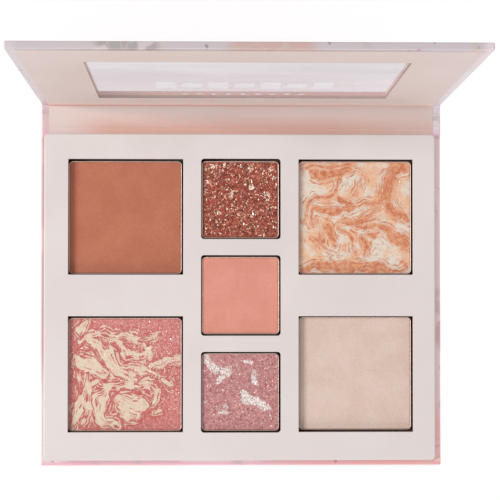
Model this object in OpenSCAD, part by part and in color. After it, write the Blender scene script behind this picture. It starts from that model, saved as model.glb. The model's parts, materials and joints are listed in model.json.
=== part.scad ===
// Hinged card palette: a board case bound in printed paper like a book, with a
// cream block of seven pressed powders on its base and a clear window in its lid.
// Origin at the middle of the base panel's underside. +X is right, +Y is towards
// the hinge and +Z is up. The spine lies flat behind the base and the lid stands.

/* [Case] */
// Width of the base, the spine and the lid
case_w = 131.8; // [130:0.1:145]
// Length of the base and of the lid, from the free edge to the crease
panel_l = 110.4; // [110:0.1:122]
// Thickness of the bare greyboard in every panel
board_t = 1.9; // [1.4:0.1:2.6]
// Thickness of the printed wrap
wrap_t = 0.15; // [0.1:0.05:0.2]
// Thickness of the liner on the lid and the spine
liner_t = 0.1; // [0.05:0.05:0.15]
// Gap between a panel and the round edge of the spine
crease_gap = 0.25; // [0.25:0.05:0.6]
// How far the wrap is turned in over the inner faces
turn_in = 13; // [8:0.5:13]
// Band of turned-in wrap left showing round the liner
liner_inset = 2.5; // [1.5:0.1:4]
// How far the lid leans back from square to the spine, in degrees
lid_lean = 1.8; // [0:0.2:20]

/* [Window] */
// Width of the window in the lid
window_w = 92; // [70:1:92]
// Height of the window in the lid
window_l = 72; // [50:1:72]
// Distance from the lid's crease edge to the window
window_from_crease = 17; // [15:0.5:18]
// Margin of clear film glued round the window
film_margin = 6; // [3:0.5:6]
// Thickness of the ornament printed on the film
ink_t = 0.03; // [0.02:0.01:0.05]

/* [Block] */
// Width of the block
block_w = 128; // [126:0.1:128.5]
// Depth of the block
block_d = 106.7; // [105:0.1:107]
// Height of the block
block_h = 5.5; // [5.2:0.1:8]
// Offset of the block to the right of the case's middle
block_x = -0.55; // [-0.6:0.05:0.6]
// Offset of the block towards the hinge
block_y = 0.25; // [-0.4:0.05:0.4]
// Radius of the block's upright corners
block_r = 1.5; // [0.5:0.1:3]
// Thickness of the block's bottom card
bottom_card_t = 0.4; // [0.3:0.1:0.6]
// Thickness of the block's top card
top_card_t = 0.8; // [0.5:0.1:1]
// Thickness of the adhesive sheet under the block
adhesive_t = 0.1; // [0.05:0.05:0.15]
// Clearance between the block and the closed lid's liner
closed_gap = 0.15; // [0.1:0.05:0.5]

/* [Wells] */
// Offset of the middle well to the right of the block's middle
wells_x = 0.3; // [0:0.05:0.5]
// Offset of the middle well behind the block's middle
wells_y = 0.5; // [0:0.05:1]
// Distance between the columns of wells
column_pitch = 37.65; // [37:0.05:38.5]
// Distance between the rows of large wells
large_pitch = 51.4; // [50:0.1:52]
// Distance between the rows of small wells
small_pitch = 31.6; // [31:0.1:32]
// Width of a large well
large_well_w = 37.6; // [37.5:0.1:38]
// Depth of a large well, front to back
large_well_d = 37.9; // [37.7:0.1:38.5]
// Width of a small well
small_well_w = 26.1; // [26:0.1:26.6]
// Depth of a small well, front to back
small_well_d = 26.4; // [26:0.1:26.8]
// Side of a large pan
large_pan = 37; // [35:0.1:37]
// Side of a small pan
small_pan = 25.3; // [24:0.1:25.3]
// Height of a large pan
large_pan_h = 2.9; // [2.5:0.1:2.9]
// Height of a small pan
small_pan_h = 3.8; // [3:0.1:3.9]
// Thickness of a pan's metal
pan_t = 0.35; // [0.2:0.05:0.5]
// How far the powder lies below its pan's rim
fill_gap = 0.15; // [0.05:0.05:0.4]

/* [Magnets] */
// Diameter of the magnets and of the steel discs
magnet_d = 6; // [4:0.5:6]
// Thickness of the magnets in the block
magnet_t = 1.5; // [1:0.1:2]
// Thickness of the steel discs in the lid
disc_t = 1; // [0.5:0.1:1.2]
// Distance of each magnet from the middle of the front edge
magnet_x = 44; // [30:1:50]
// Distance of the magnets from the block's front edge
magnet_inset = 4.6; // [4:0.1:6]

/* [Hidden] */
$fn = 64;
eps = 0.01;            // overshoot of a cutting tool
panel_t = board_t + 2 * wrap_t;
rear_y = panel_l / 2;  // the base panel's crease edge

// The stack in the closed case fixes the spine's length between its two axes.
closed_h = 2 * panel_t + adhesive_t + block_h + closed_gap + liner_t;
spine_l = closed_h - panel_t;
axis_z = panel_t / 2;
lower_axis_y = rear_y + crease_gap + panel_t / 2;
upper_axis_y = lower_axis_y + spine_l;

liner_w = case_w - 2 * liner_inset;
under_liner_w = case_w - 2 * turn_in;  // width of board left bare by the turn-ins
tuck = 8;              // how far the liner runs in under the block

block_z = panel_t + adhesive_t;
block_top = block_z + block_h;
block_rear = block_y + block_d / 2;
block_front = block_y - block_d / 2;
inner_block_top = block_top - wrap_t;
core_z = block_z + bottom_card_t;
core_top = inner_block_top - top_card_t;
grid_x = block_x + wells_x;
grid_y = block_y + wells_y;
magnet_y = block_front + magnet_inset;
disc_y = rear_y - magnet_y;            // the same line on the closed lid
well_r = 1;            // corner radius of a small well
pan_r = 1.4;           // corner radius of a pan
pad_share = 0.4;       // diameter of a glue pad over the side of its pan

// Each shade: name, column, place in its column, large or small, the pan's
// shift in its well along X and Y, and how far its rim lies below the block's top.
SHADES = [
    ["bronzer",     -1,  0.5, true,  [-0.20, -0.20], 2.00],
    ["rose",        -1, -0.5, true,  [-0.20, -0.15], 1.40],
    ["highlighter",  1,  0.5, true,  [-0.20, -0.20], 1.20],
    ["cream",        1, -0.5, true,  [-0.20,  0.15], 1.80],
    ["copper",       0,  1,   false, [-0.20, -0.25], 0.85],
    ["coral",        0,  0,   false, [-0.10, -0.05], 0.50],
    ["mauve",        0, -1,   false, [-0.20,  0.00], 0.85]
];

print_pink = [0.82, 0.67, 0.68];
liner_pink = [0.84, 0.76, 0.75];
cream_paper = [0.90, 0.86, 0.84];
grey_board = [0.60, 0.57, 0.53];
tin = [0.78, 0.77, 0.76];
POWDER_COLOURS = [
    [0.75, 0.46, 0.36], [0.79, 0.47, 0.45], [0.85, 0.61, 0.44], [0.85, 0.75, 0.70],
    [0.63, 0.28, 0.22], [0.87, 0.57, 0.50], [0.72, 0.48, 0.47]
];

function is_large(shade) = shade[3];
function well_x(shade) = grid_x + shade[1] * column_pitch;
function well_y(shade) = grid_y + shade[2] * (is_large(shade) ? large_pitch : small_pitch);
function pan_x(shade) = well_x(shade) + shade[4][0];
function pan_y(shade) = well_y(shade) + shade[4][1];
function pan_side(shade) = is_large(shade) ? large_pan : small_pan;
function rim_z(shade) = block_top - shade[5];
function pan_z(shade) = rim_z(shade) - (is_large(shade) ? large_pan_h : small_pan_h);

// ---- Shared shapes ----

module rounded_square(w, d, r) {
    square([w - 2 * r, d], center = true);
    square([w, d - 2 * r], center = true);
    for (x = [-1, 1], y = [-1, 1])
        translate([x * (w / 2 - r), y * (d / 2 - r)]) circle(r);
}

module slab(w, y0, y1, z0, z1) {
    translate([-w / 2, y0, z0]) cube([w, y1 - y0, z1 - z0]);
}

// The base and the lid share one panel. It lies outer face down with its crease
// edge at y = 0 and its free edge at y = panel_l.
module panel_board() {
    slab(case_w - 2 * wrap_t, 0, panel_l - wrap_t, wrap_t, panel_t - wrap_t);
}

// The wrap covers the outer face, turns over three edges and in over the inner face.
module panel_wrap() {
    difference() {
        slab(case_w, 0, panel_l, 0, panel_t);
        slab(case_w - 2 * wrap_t, -eps, panel_l - wrap_t, wrap_t, panel_t - wrap_t);
        slab(under_liner_w, -eps, panel_l - turn_in, panel_t / 2, panel_t + eps);
    }
}

module window_hole(grow, z0, z1) {
    slab(window_w + 2 * grow, window_from_crease - grow,
         window_from_crease + window_l + grow, z0, z1);
}

// The lid's own frame is the panel's, swung up about the upper crease.
module place_lid() {
    translate([0, upper_axis_y, axis_z]) rotate([90 - lid_lean, 0, 0])
        translate([0, panel_t / 2 + crease_gap, -panel_t / 2]) children();
}

module place_base() {
    translate([0, rear_y, 0]) mirror([0, 1, 0]) children();
}

// Section of the spine between its axes, with a half-round edge on each axis.
module spine_section(r) {
    translate([lower_axis_y, axis_z - r]) square([spine_l, 2 * r]);
    for (y = [lower_axis_y, upper_axis_y]) translate([y, axis_z]) circle(r);
}

// Extrudes a section drawn in Y and Z along X, about the middle of the case.
module along_x(w) {
    rotate([90, 0, 90]) translate([0, 0, -w / 2]) linear_extrude(w) children();
}

module well_outline(shade) {
    translate([well_x(shade), well_y(shade)])
        if (is_large(shade)) square([large_well_w, large_well_d], center = true);
        else rounded_square(small_well_w, small_well_d, well_r);
}

// A layer of the block with the seven wells cut through it.
module block_layer(inset, z0, z1) {
    translate([0, 0, z0]) linear_extrude(z1 - z0) difference() {
        block_outline(inset);
        for (shade = SHADES) well_outline(shade);
    }
}

module block_outline(inset) {
    translate([block_x, block_y])
        rounded_square(block_w - 2 * inset, block_d - 2 * inset, block_r - inset);
}

module magnet_row(z, h, d) {
    for (side = [-1, 1]) translate([side * magnet_x, magnet_y, z]) cylinder(h, d = d);
}

// ---- Case ----

module base_board() { color(grey_board) place_base() panel_board(); }

module base_wrap() { color(print_pink) place_base() panel_wrap(); }

// The liner's end strip, tucked in under the rear edge of the block.
module base_liner() {
    color(liner_pink) {
        slab(liner_w, block_rear - tuck, rear_y, panel_t, block_z);
        slab(under_liner_w, block_rear - tuck, rear_y, panel_t - wrap_t, panel_t);
    }
}

module spine_board() {
    color(grey_board) along_x(case_w - 2 * wrap_t) spine_section(board_t / 2);
}

// The wrap passes under the spine, and its ends turn up and in at both sides.
module spine_wrap() {
    color(print_pink) difference() {
        along_x(case_w) spine_section(panel_t / 2);
        along_x(case_w - 2 * wrap_t) spine_section(board_t / 2);
        slab(under_liner_w, lower_axis_y - panel_t, upper_axis_y + panel_t,
             axis_z, panel_t + eps);
    }
}

module spine_liner() {
    color(liner_pink) {
        slab(liner_w, lower_axis_y, upper_axis_y, panel_t, panel_t + liner_t);
        slab(under_liner_w, lower_axis_y, upper_axis_y, panel_t - wrap_t, panel_t);
    }
}

module lid_board() {
    color(grey_board) place_lid() difference() {
        panel_board();
        window_hole(wrap_t, -eps, panel_t + eps);
        lid_disc_row(magnet_d, panel_t - wrap_t - disc_t, disc_t + wrap_t);
    }
}

module lid_wrap() {
    color(print_pink) place_lid() {
        difference() {
            panel_wrap();
            window_hole(0, -eps, panel_t + eps);
        }
        difference() {
            window_hole(wrap_t, 0, panel_t - wrap_t);
            window_hole(0, -eps, panel_t + eps);
        }
    }
}

module lid_liner() {
    color(liner_pink) place_lid() {
        difference() {
            slab(liner_w, 0, panel_l - liner_inset, panel_t, panel_t + liner_t);
            window_hole(0, -eps, panel_t + 2 * liner_t);
        }
        difference() {
            slab(under_liner_w, 0, panel_l - turn_in, panel_t - wrap_t, panel_t);
            window_hole(film_margin, -eps, panel_t + eps);
        }
    }
}

// Steel discs let into the lid's board, which meet the block's magnets when shut.
module lid_disc_row(d, z, h) {
    for (side = [-1, 1])
        translate([side * magnet_x, disc_y, z]) cylinder(h, d = d);
}

module lid_discs() {
    color(tin) place_lid() lid_disc_row(magnet_d, panel_t - wrap_t - disc_t, disc_t);
}

// Clear film behind the liner, glued to the board round the window.
module window_film() {
    color([0.85, 0.87, 0.88, 0.35]) place_lid()
        window_hole(film_margin, panel_t - wrap_t, panel_t);
}

// Plain printed ornament: a row of small diamonds next to the crease, a row of
// bold bars, and a fine broken line.
module window_print() {
    color([0.35, 0.33, 0.34]) place_lid() translate([0, 0, panel_t]) {
        print_row(9, 4.6, 26) rotate(45) plate(1.6, 1.6);
        print_row(4, 16, 44.5) plate(6.2, 13);
        print_row(3, 16, 44.5) plate(6.2, 9);
        print_row(6, 6.6, 60) plate(5, 0.5);
    }
}

// Repeats a motif along X about the window's middle, at y in the lid's own frame.
module print_row(count, pitch, y) {
    for (i = [0 : count - 1])
        translate([(i - (count - 1) / 2) * pitch, y, 0]) children();
}

// One patch of ink, centred on X and Y.
module plate(w, d) {
    translate([-w / 2, -d / 2, 0]) cube([w, d, ink_t]);
}

// ---- Block ----

module block_adhesive() {
    edge = 2;          // the sheet stops short of the block's edges
    front = block_front + edge;
    rear = block_rear - tuck;
    color("gainsboro") {
        translate([block_x, 0, 0]) slab(block_w - 2 * edge, front, rear, panel_t, block_z);
        slab(under_liner_w, turn_in - rear_y, rear, panel_t - wrap_t, panel_t);
    }
}

module block_bottom_card() {
    color(grey_board) translate([0, 0, block_z])
        linear_extrude(bottom_card_t) block_outline(wrap_t);
}

module block_core() {
    color(grey_board) difference() {
        block_layer(wrap_t, core_z, core_top);
        magnet_row(core_top - magnet_t, magnet_t + eps, magnet_d);
    }
}

module block_top_card() { color(grey_board) block_layer(wrap_t, core_top, inner_block_top); }

// Cream paper over the top and down the four sides.
module block_wrap() {
    color(cream_paper) difference() {
        block_layer(0, block_z, block_top);
        translate([0, 0, block_z - eps]) linear_extrude(inner_block_top - block_z + eps)
            block_outline(wrap_t);
    }
}

module block_magnets() { color("silver") magnet_row(core_top - magnet_t, magnet_t, magnet_d); }

// Foam glue pads that hold the pans to the bottom card, each as thick as its pan needs.
module pan_pads() {
    color("white") for (shade = SHADES)
        translate([pan_x(shade), pan_y(shade), core_z])
            cylinder(pan_z(shade) - core_z, d = pad_share * pan_side(shade));
}

module pan(shade) {
    side = pan_side(shade);
    inner = side - 2 * pan_t;
    color(tin) translate([pan_x(shade), pan_y(shade), pan_z(shade)]) difference() {
        linear_extrude(rim_z(shade) - pan_z(shade)) rounded_square(side, side, pan_r);
        translate([0, 0, pan_t]) linear_extrude(block_h)
            rounded_square(inner, inner, pan_r - pan_t);
    }
}

module powder(shade) {
    inner = pan_side(shade) - 2 * pan_t;
    floor_z = pan_z(shade) + pan_t;
    translate([pan_x(shade), pan_y(shade), floor_z])
        linear_extrude(rim_z(shade) - fill_gap - floor_z)
            rounded_square(inner, inner, pan_r - pan_t);
}

base_board();
base_wrap();
base_liner();
spine_board();
spine_wrap();
spine_liner();
lid_board();
lid_wrap();
lid_liner();
lid_discs();
window_film();
window_print();
block_adhesive();
block_bottom_card();
block_core();
block_top_card();
block_wrap();
block_magnets();
pan_pads();
for (i = [0 : len(SHADES) - 1]) {
    shade = SHADES[i];
    pan(shade);
    color(POWDER_COLOURS[i]) powder(shade);
}
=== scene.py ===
"""Looks of the card palette: paper, board, film, metal pans and pressed powders.

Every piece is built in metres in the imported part's own frame. MM turns the
millimetres that the notes and sizes use into metres.
"""

import json
import math

import bpy
import numpy as np
from mathutils import Matrix, Vector
from mathutils.geometry import tessellate_polygon


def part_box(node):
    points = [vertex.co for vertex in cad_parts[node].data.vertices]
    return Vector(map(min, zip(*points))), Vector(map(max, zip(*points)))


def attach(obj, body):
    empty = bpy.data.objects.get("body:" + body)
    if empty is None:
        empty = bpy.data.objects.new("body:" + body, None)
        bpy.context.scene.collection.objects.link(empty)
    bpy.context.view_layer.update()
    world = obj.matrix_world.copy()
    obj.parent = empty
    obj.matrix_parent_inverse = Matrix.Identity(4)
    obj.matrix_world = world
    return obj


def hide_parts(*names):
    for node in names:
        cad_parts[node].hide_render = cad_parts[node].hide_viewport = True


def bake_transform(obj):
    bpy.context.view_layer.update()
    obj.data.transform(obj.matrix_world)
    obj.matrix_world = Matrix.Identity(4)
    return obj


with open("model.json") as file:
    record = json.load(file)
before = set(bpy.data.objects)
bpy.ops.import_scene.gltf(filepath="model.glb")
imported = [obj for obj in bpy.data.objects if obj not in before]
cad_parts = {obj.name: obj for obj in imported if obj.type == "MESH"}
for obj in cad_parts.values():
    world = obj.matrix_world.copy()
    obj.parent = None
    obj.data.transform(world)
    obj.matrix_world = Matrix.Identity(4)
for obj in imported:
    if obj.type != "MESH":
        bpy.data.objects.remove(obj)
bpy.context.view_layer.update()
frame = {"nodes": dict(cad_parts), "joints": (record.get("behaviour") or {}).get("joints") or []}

MM = 0.001

# ---------------------------------------------------------------- places

JOINTS = {joint["name"]: joint for joint in frame["joints"]}
LOWER_AXIS = Vector(JOINTS["spine_fold"]["pos_m"])
UPPER_AXIS = Vector(JOINTS["lid_fold"]["pos_m"])
LEAN = math.radians(-JOINTS["lid_fold"]["range_deg"][0])

base_lo, base_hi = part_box("base_wrap")
CASE_W = base_hi.x - base_lo.x
PANEL_L = base_hi.y - base_lo.y
PANEL_T = base_hi.z
REAR_Y = base_hi.y
CREASE_GAP = LOWER_AXIS.y - REAR_Y - PANEL_T / 2
LINER_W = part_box("spine_liner")[1].x * 2
LINER_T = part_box("spine_liner")[1].z - PANEL_T
LINER_INSET = (CASE_W - LINER_W) / 2
LINER_EDGE = 0.03 * MM
BLOCK_LO, BLOCK_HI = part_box("block_wrap")

# The window in the lid: its size, and its distance from the crease edge.
WINDOW_W = 92 * MM
WINDOW_L = 72 * MM
WINDOW_FROM_CREASE = 17 * MM
FILM_MARGIN = 6 * MM
FILM_T = 0.11 * MM
WINDOW_Y = WINDOW_FROM_CREASE + WINDOW_L / 2

# The lid's own frame has its crease edge at y = 0 and its outer face at z = 0.
LID = (
    Matrix.Translation(UPPER_AXIS)
    @ Matrix.Rotation(math.pi / 2 - LEAN, 4, "X")
    @ Matrix.Translation((0, PANEL_T / 2 + CREASE_GAP, -PANEL_T / 2))
)
SHADES = ("bronzer", "rose", "highlighter", "cream", "copper", "coral", "mauve")

# ---------------------------------------------------------------- mesh tools

CORNER_STEPS = 6
PANEL_CORNER = 0.5 * MM
PANEL_EDGE = 0.4 * MM
WINDOW_CORNER = 0.3 * MM
SUPPORT = 0.25 * MM    # how far inside each flat face its support loop lies
MIN_CORNER = 0.02 * MM
SMALLEST_NORMAL = 1e-30


def middle(lo, hi):
    return Vector(((lo.x + hi.x) / 2, (lo.y + hi.y) / 2))


def rounded_rect(w, d, r, centre=(0, 0)):
    """Points round a rectangle with round corners, anticlockwise."""
    points = []
    for corner, (sx, sy) in enumerate(((1, 1), (-1, 1), (-1, -1), (1, -1))):
        for i in range(CORNER_STEPS + 1):
            angle = math.pi / 2 * (corner + i / CORNER_STEPS)
            x = centre[0] + sx * (w / 2 - r) + r * math.cos(angle)
            y = centre[1] + sy * (d / 2 - r) + r * math.sin(angle)
            points.append((x, y))
    return points


def level(w, d, r, z, inset=0.0, centre=(0, 0)):
    """One loop of a loft: a rounded rectangle drawn in by inset, at height z."""
    corner = max(r - inset, MIN_CORNER)
    flat = rounded_rect(w - 2 * inset, d - 2 * inset, corner, centre)
    return [(x, y, z) for x, y in flat]


def loft(loops, closed=False, capped=True):
    """Joins loops of equal length with quads; returns vertices and faces."""
    count = len(loops[0])
    verts = [point for loop in loops for point in loop]
    faces = []
    rows = len(loops) if closed else len(loops) - 1
    for row in range(rows):
        a = row * count
        b = (row + 1) % len(loops) * count
        for i in range(count):
            k = (i + 1) % count
            faces.append((a + i, a + k, b + k, b + i))
    if capped and not closed:
        faces.append(tuple(reversed(range(count))))
        faces.append(tuple(range((len(loops) - 1) * count, len(loops) * count)))
    return verts, faces


def grid(columns, rows):
    """Quads over points laid out row by row, and the points round the rim in order."""
    quads = []
    for j in range(rows - 1):
        for i in range(columns - 1):
            a = j * columns + i
            quads.append((a, a + 1, a + columns + 1, a + columns))
    rim = list(range(columns))
    rim += [j * columns + columns - 1 for j in range(1, rows)]
    rim += [(rows - 1) * columns + i for i in range(columns - 2, -1, -1)]
    rim += [j * columns for j in range(rows - 2, 0, -1)]
    return quads, rim


def join(verts, faces, part):
    """Adds a part's vertices and faces to the lists; returns the part's first vertex."""
    first = len(verts)
    verts += part[0]
    faces += [tuple(v + first for v in face) for face in part[1]]
    return first


def edge_arc(z, r, start, end, steps=4):
    """(inset, z) pairs along a rounded edge whose arc is centred r in from the side."""
    angles = np.radians(np.linspace(start, end, steps + 1))
    return [(r - r * math.cos(a), z + r * math.sin(a)) for a in angles]


def slab_loops(w, d, r, z0, z1, edge, centre=(0, 0), support=SUPPORT):
    """Loops of a slab with rounded edges, with a support loop inside each flat face."""
    outline = [(edge + support, z0)]
    outline += edge_arc(z0 + edge, edge, -90, 0)
    outline += edge_arc(z1 - edge, edge, 0, 90)
    outline += [(edge + support, z1)]
    return [level(w, d, r, z, inset, centre) for inset, z in outline]


def ring_loops(outer, hole, z0, z1, edge):
    """Loops of a slab with a rectangular hole. outer and hole are (w, d, centre)."""
    w, d, centre = outer
    loops = slab_loops(w, d, PANEL_CORNER, z0, z1, edge, centre)
    down = [(-(edge + SUPPORT), z1)]
    for z, start in ((z1 - edge, 0), (z0 + edge, -90)):
        down += [(-inset, z) for inset, z in reversed(edge_arc(z, edge, start, start + 90))]
    down += [(-(edge + SUPPORT), z0)]
    return loops + hole_loops(hole, down)


def hole_loops(hole, down):
    """Loops down the wall of a rectangular hole from (inset, z) pairs."""
    w, d, centre = hole
    return [level(w, d, WINDOW_CORNER, z, inset, centre) for inset, z in down]


def weighted_normals(mesh):
    """Shades a mesh smooth with face areas as weights, so flat faces stay flat."""
    mesh.shade_smooth()
    areas = np.zeros(len(mesh.polygons))
    mesh.polygons.foreach_get("area", areas)
    normals = np.zeros((len(mesh.vertices), 3))
    for polygon, area in zip(mesh.polygons, areas):
        normals[list(polygon.vertices)] += np.array(polygon.normal) * area
    lengths = np.maximum(np.linalg.norm(normals, axis=1, keepdims=True), SMALLEST_NORMAL)
    mesh.normals_split_custom_set_from_vertices((normals / lengths).tolist())


def add_object(name, data):
    added = bpy.data.objects.new(name, data)
    bpy.context.scene.collection.objects.link(added)
    return added


def new_mesh(name, verts, faces, material):
    mesh = bpy.data.meshes.new(name)
    mesh.from_pydata([tuple(v) for v in verts], [], faces)
    mesh.update()
    mesh.materials.append(material)
    return mesh


def build(name, part, material, place=None, flat=False):
    """A piece from a part's vertices and faces, moved by the matrix place."""
    mesh = new_mesh(name, *part, material)
    if place is not None:
        mesh.transform(place)
        mesh.update()
    if not flat:
        weighted_normals(mesh)
    piece = add_object(name, mesh)
    return piece


def store_sheet(piece, values):
    """Stores where each vertex lies on the flat printed sheet, in metres."""
    attribute = piece.data.attributes.new("sheet", "FLOAT_VECTOR", "POINT")
    attribute.data.foreach_set("vector", np.array(values, np.float32).ravel())


def unroll_sheet(piece, unrolled):
    store_sheet(piece, [tuple(unrolled(vertex.co)) for vertex in piece.data.vertices])


def flat_on_base(point):
    return point


def flat_on_lid(point):
    """The lid laid out flat behind the spine, as the sheet was printed."""
    local = LID.inverted() @ point
    return Vector((local.x, UPPER_AXIS.y + PANEL_T / 2 + CREASE_GAP + local.y, local.z))


# ---------------------------------------------------------------- materials


class Shader:
    """A node material with short calls for the nodes that this script uses."""

    def __init__(self, name):
        self.material = bpy.data.materials.new(name)
        self.material.use_nodes = True
        self.tree = self.material.node_tree
        self.surface = self.tree.nodes["Principled BSDF"]

    def node(self, kind, output, inputs=None, **settings):
        """One output of a new node whose inputs are linked or set as inputs says."""
        made = self.tree.nodes.new("ShaderNode" + kind)
        for key, value in settings.items():
            setattr(made, key, value)
        for key, value in (inputs or {}).items():
            self.feed(made.inputs[key], value)
        return made.outputs[output]

    def feed(self, socket, value):
        if isinstance(value, bpy.types.NodeSocket):
            self.tree.links.new(value, socket)
        else:
            socket.default_value = value

    def set(self, **values):
        """Sets the Principled BSDF's inputs; underscores in names stand for spaces."""
        for key, value in values.items():
            self.feed(self.surface.inputs[key.replace("_", " ")], value)

    def stored(self, name, output="Fac"):
        return self.node("Attribute", output, attribute_name=name)

    def place(self, stretch=(1, 1, 1), sheet=False, warp=0.0, warp_scale=100):
        """Coordinates in metres, pushed about by a noise if warp is set."""
        source = self.stored("sheet", "Vector") if sheet else self.node("TexCoord", "Object")
        if warp:
            push = self.noise(source, warp_scale, detail=3, output="Color")
            push = self.node("VectorMath", 0, {0: push, 1: (0.5, 0.5, 0.5)}, operation="SUBTRACT")
            push = self.node("VectorMath", 0, {0: push, "Scale": warp}, operation="SCALE")
            source = self.node("VectorMath", 0, {0: source, 1: push}, operation="ADD")
        return self.node("Mapping", 0, {"Vector": source, "Scale": stretch})

    def axis(self, source, name):
        return self.node("SeparateXYZ", name, {0: source})

    def axes(self, source):
        return [self.axis(source, name) for name in "XYZ"]

    def math(self, operation, *values):
        return self.node("Math", 0, dict(enumerate(values)), operation=operation)

    def distance(self, value, centre):
        return self.math("ABSOLUTE", self.math("SUBTRACT", value, centre))

    def noise(self, where, scale, detail=2.0, rough=0.5, twist=0.0, output="Fac"):
        inputs = {"Vector": where, "Scale": scale, "Detail": detail, "Roughness": rough}
        return self.node("TexNoise", output, {**inputs, "Distortion": twist})

    def cells(self, where, scale, output="Color"):
        return self.node("TexVoronoi", output, {"Vector": where, "Scale": scale})

    def band(self, value, low, high, out_low=0.0, out_high=1.0):
        """A smooth step from low to high."""
        ends = {"From Min": low, "From Max": high, "To Min": out_low, "To Max": out_high}
        return self.node("MapRange", 0, {"Value": value, **ends}, interpolation_type="SMOOTHSTEP")

    def blot(self, where, scale, detail, low, high, top=1.0, **more):
        """Soft patches up to top, where a noise passes from low to high."""
        return self.band(self.noise(where, scale, detail, **more), low, high, 0.0, top)

    def region(self, *fades, strength=1.0):
        """Where all the fades hold, up to strength. A fade is a value and two places in
        millimetres: where it starts and where it is full."""
        found = None
        for value, start, full in fades:
            top = strength if found is None else 1.0
            step = self.band(value, start * MM, full * MM, 0.0, top)
            found = step if found is None else self.math("MULTIPLY", found, step)
        return found

    def mix(self, amount, a, b):
        return self.node("Mix", 2, {"Factor": amount, 6: a, 7: b}, data_type="RGBA")

    def paint(self, tone, colour, *amounts):
        """Lays a colour over a tone as strongly as the amounts' product."""
        product = amounts[0]
        for amount in amounts[1:]:
            product = self.math("MULTIPLY", product, amount)
        return self.mix(product, tone, colour)

    def bump(self, height, distance, strength=1.0, under=None):
        inputs = {"Strength": strength, "Distance": distance, "Height": height}
        if under is not None:
            inputs["Normal"] = under
        return self.node("Bump", 0, inputs)

    def fold(self, waver, scale):
        """How much of the second shade the mesh stores, with its edges roughened."""
        rough = self.math("SUBTRACT", self.noise(self.place(), scale, detail=4), 0.5)
        return self.math("ADD", self.stored("fold"), self.math("MULTIPLY", rough, waver))


def rgb(red, green, blue):
    """A colour given in ordinary 0 to 255 screen values, as the shader wants it."""
    values = []
    for channel in (red, green, blue):
        c = channel / 255
        values.append(c / 12.92 if c <= 0.04045 else ((c + 0.055) / 1.055) ** 2.4)
    return (*values, 1.0)


def plain_paper(name, scales, stretch, tones, fibres, rough, gloss, press, stain_and_painted_light=None):
    """Uncoated paper. scales are of its clouds, fibres and tooth, tones its two clouds and
    its fibres, which show with the strength fibres. The last argument adds painted light and
    shade."""
    s = Shader(name)
    at = s.place()
    cloud = s.blot(at, scales[0], 3, 0.3, 0.7)
    fibre = s.noise(s.place(stretch=stretch), scales[1], detail=4, rough=0.65)
    tooth = s.noise(at, scales[2], detail=3)
    tone = s.mix(cloud, tones[0], tones[1])
    tone = s.mix(s.band(fibre, 0.35, 0.75, 0.0, fibres), tone, tones[2])
    s.set(
        Base_Color=stain_and_painted_light(s, tone, at) if stain_and_painted_light else tone,
        Roughness=s.band(tooth, 0.3, 0.7, *rough),
        Specular_IOR_Level=gloss,
        Normal=s.bump(fibre, 0.012 * MM, press, s.bump(tooth, 0.02 * MM, 0.5)),
    )
    return s.material


def cream_paper():
    tones = (rgb(199, 192, 190), rgb(195, 187, 185), rgb(190, 180, 176))
    return plain_paper("cream_paper", (45, 2600, 900), (1, 0.45, 1), tones, 0.2,
                       (0.5, 0.62), 0.4, 0.6)


def liner_paper():
    tones = (rgb(209, 195, 191), rgb(204, 189, 185), rgb(195, 176, 170))
    # the liner gets painted shade and light along both folds
    return plain_paper("liner_paper", (30, 2200, 700), (0.5, 1, 1), tones, 0.25,
                       (0.55, 0.68), 0.35, 0.7, painted_fold_shade_and_light)


def painted_fold_shade_and_light(s, tone, at):
    """Painted shade and light on the liner by both folds: rosy shade near the block,
    a lighter foot up the lid and a thin dark line in the upper crease.
    """
    side, back, up = s.axes(at)
    low, top = LOWER_AXIS.y / MM, (PANEL_T + LINER_T) / MM
    # painted shade: darker and rosier liner near the block, weaker towards both ends
    stain_and_painted_light = s.region((back, low + 5.5, low - 1.5), (side, -60, -42), strength=0.85)
    tone = s.paint(tone, rgb(200, 158, 146), stain_and_painted_light, s.band(side, 62 * MM, 25 * MM, 0.5, 1.0))
    # painted light: a lighter band up the lid's foot
    foot = s.region((up, 14, 3), (up, top, top + 0.5), strength=0.75)
    tone = s.paint(tone, rgb(236, 211, 201), foot)
    # painted shade: a thin darker line in the upper crease, weaker towards the right
    line = s.region((up, top + 0.05, top + 0.15), (up, top + 0.9, top + 0.6), strength=0.6)
    return s.paint(tone, rgb(212, 138, 126), line, s.band(side, 45 * MM, 5 * MM, 0.3, 1.0))


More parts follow.
